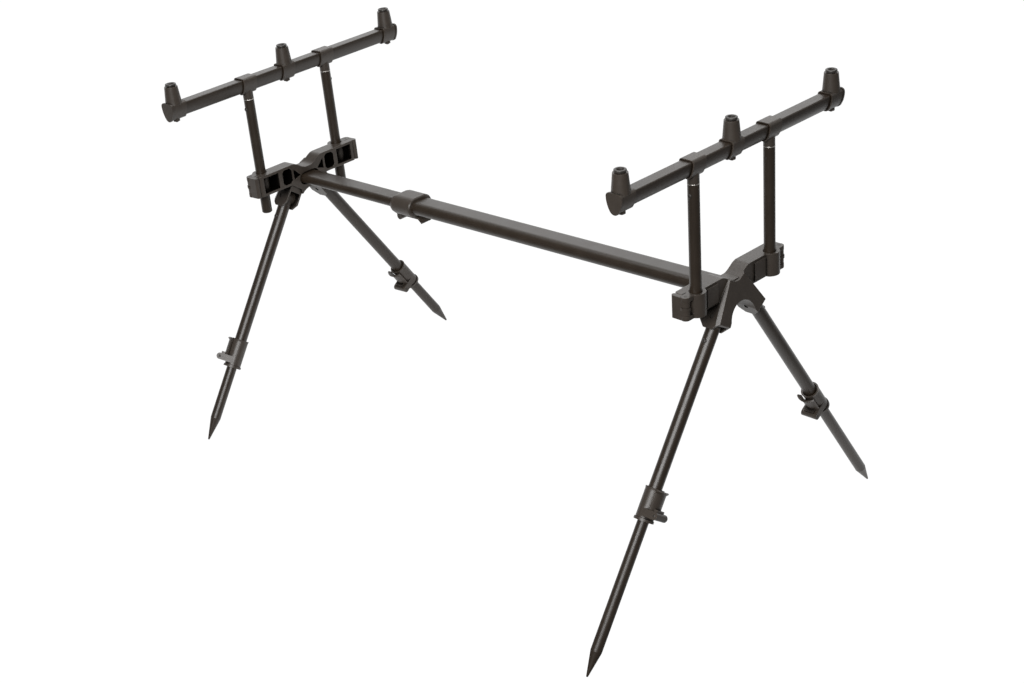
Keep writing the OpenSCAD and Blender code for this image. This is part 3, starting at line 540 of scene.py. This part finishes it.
LIP_CORE_R = 7.4
LIP_FOOT = -1.3
LIP_CURVE = [(8.02, LIP_FOOT), (8.2, -1.1), (8.26, -0.8), (8.2, -0.5), (8.04, -0.2), (7.8, -0.05)]

lip_rows = [(LIP_CORE_R, LIP_FOOT)] + LIP_CURVE + [(LIP_CORE_R, 0)]
tube_lip = turned("tube_lip", lip_rows, LIP_SIDES)


# Fixings in their places, with drops down from a socket's rim or a leg's pivot

SOCKETS = ("_left_socket", "_middle_socket", "_right_socket")
UPRIGHT_Y = 80
RIVET_Y = UPRIGHT_Y + UPRIGHT_R
SCREW_DROP = 58.1
LIP_DROP = 64.2
RIVET_DROP = 80.2
LEG_RIVET_DROP = 34

for end in ENDS:
    rims = [Vector(mounts[end + socket]["pos_m"]) for socket in SOCKETS]
    middle = rims[1]
    up = Vector(mounts[end + "_middle_socket"]["axis"])
    ahead = LEFT.cross(up)

    inserts = [stood(insert, rim, up, ahead) for rim in rims]
    carry(joined(end + "_threaded_inserts", inserts), end + "_inserts")

    screws = [stood(screw, rim - up * SCREW_DROP * MM, -up, ahead) for rim in rims]
    carry(joined(end + "_pan_screws", screws), end + "_socket_screws")

    rivet_places = [middle + side * RIVET_Y * MM - up * RIVET_DROP * MM for side in SIDES]
    rivets = [stood(upright_rivet, place, side, up) for place, side in zip(rivet_places, SIDES)]
    carry(joined(end + "_domed_rivets", rivets), end + "_upright_rivets")

    lip_places = [middle + side * UPRIGHT_Y * MM - up * LIP_DROP * MM for side in SIDES]
    lips = joined(end + "_tube_lips", [stood(tube_lip, place, up, ahead) for place in lip_places])
    lips.data.materials.append(tube_end_finish)
    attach(lips, body_of[end + "_uprights"])

for leg in LEGS:
    pivot = Vector(joints[leg + "_fold"]["pos_m"])
    hinge = Vector(joints[leg + "_leg_lever_hinge"]["pos_m"])
    up = way(leg + "_foot_slide")
    across = way(leg + "_fold")
    across = across if across.z > 0 else -across
    pins = joined(leg + "_domed_pins", [
        stood(leg_rivet, pivot - up * LEG_RIVET_DROP * MM + across * LEG_R * MM, across, up),
        stood(lever_pin, hinge, way(leg + "_leg_lever_hinge"), up),
    ])
    carry(pins, leg + "_leg_pins")

scrap(insert, screw, upright_rivet, leg_rivet, lever_pin, tube_lip)


# Floor and background: white to the camera, with a dim near and right side in what the pieces mirror

FLOOR_SIZE = 40
NEAR = (0.35, -0.94, 0)
RIGHT = (1, 0, 0)
FAR = (-0.35, 0.94, 0)
NEAR_FADE = (0.1, 0.4)
RIGHT_FADE = (0.55, 0.85)
FAR_FADE = (0.2, 1)
PAPER = 0.9
DIM_PAPER = 0.14
GLOW = 1
DIM_GLOW = 0.16
GLOW_STRENGTH = 1.05
GLOW_SHARE = 0.93
ROOM_LEVEL = 0.14


def grey(level):
    return (level, level, level, 1)


def ray_kinds(wire):
    """1 for rays straight from the camera, and 1 for those and the rays that metal and glass send on."""
    straight, glossy, through = [wire.add("ShaderNodeLightPath", None, kind)
                                 for kind in ("Is Camera Ray", "Is Glossy Ray", "Is Transmission Ray")]
    return straight, (straight + glossy + through).between(0, 1)


bpy.ops.mesh.primitive_plane_add(size=FLOOR_SIZE, location=(0, 0, 0))
floor = bpy.context.object
floor.name = "floor"
floor_material = bpy.data.materials.new("floor")
floor_material.use_nodes = True
tree = floor_material.node_tree
tree.nodes.clear()
paper = Wire(tree)
camera_ray, shown_ray = ray_kinds(paper)
spot = paper.add("ShaderNodeNewGeometry", None, "Position")
dim = paper.maths("MAXIMUM", spot.dot(NEAR).between(*NEAR_FADE), spot.dot(RIGHT).between(*RIGHT_FADE))
shaded = dim * (1 - camera_ray)
paper_tone = shaded.mix(grey(PAPER), grey(DIM_PAPER))
glow_tone = shaded.mix(grey(GLOW), grey(DIM_GLOW))
matt = paper.add("ShaderNodeBsdfDiffuse", Color=paper_tone)
glow = paper.add("ShaderNodeEmission", Color=glow_tone, Strength=GLOW_STRENGTH)
sheet = paper.add("ShaderNodeMixShader", _0=shown_ray * GLOW_SHARE, _1=matt, _2=glow)
sheet.feed(tree.nodes.new("ShaderNodeOutputMaterial"), "Surface")
floor.data.materials.append(floor_material)

world = bpy.data.worlds.new("studio")
bpy.context.scene.world = world
world.use_nodes = True
tree = world.node_tree
tree.nodes.clear()
air = Wire(tree)
camera_ray, shown_ray = ray_kinds(air)
toward = air.add("ShaderNodeTexCoord", None, "Generated")
backed = (camera_ray + shown_ray * toward.dot(FAR).between(*FAR_FADE)).between(0, 1)
level = ROOM_LEVEL + backed * (1 - ROOM_LEVEL)
sky = air.add("ShaderNodeBackground", Color=grey(1), Strength=level)
sky.feed(tree.nodes.new("ShaderNodeOutputWorld"), "Surface")


# Softboxes, in metres and watts

def softbox(name, place, aim, width, height, power):
    lamp = bpy.data.lights.new(name, "AREA")
    lamp.shape = "RECTANGLE"
    lamp.size = width
    lamp.size_y = height
    lamp.energy = power
    holder = bpy.data.objects.new(name, lamp)
    holder.location = place
    holder.rotation_euler = (Vector(aim) - Vector(place)).to_track_quat("-Z", "Y").to_euler()
    holder.visible_camera = False
    bpy.context.scene.collection.objects.link(holder)


softbox("overhead", place=(-0.4, 0.2, 2.6), aim=(0, 0, 0.3), width=2.4, height=1.8, power=36)
softbox("backdrop", place=(-2.4, 2.2, 1.7), aim=(0, 0, 0.4), width=3.0, height=2.0, power=16)
softbox("key", place=(1.2, -2.3, 2.05), aim=(0, 0, 0.35), width=2.2, height=1.2, power=106)

bpy.context.scene.view_settings.view_transform = "Standard"
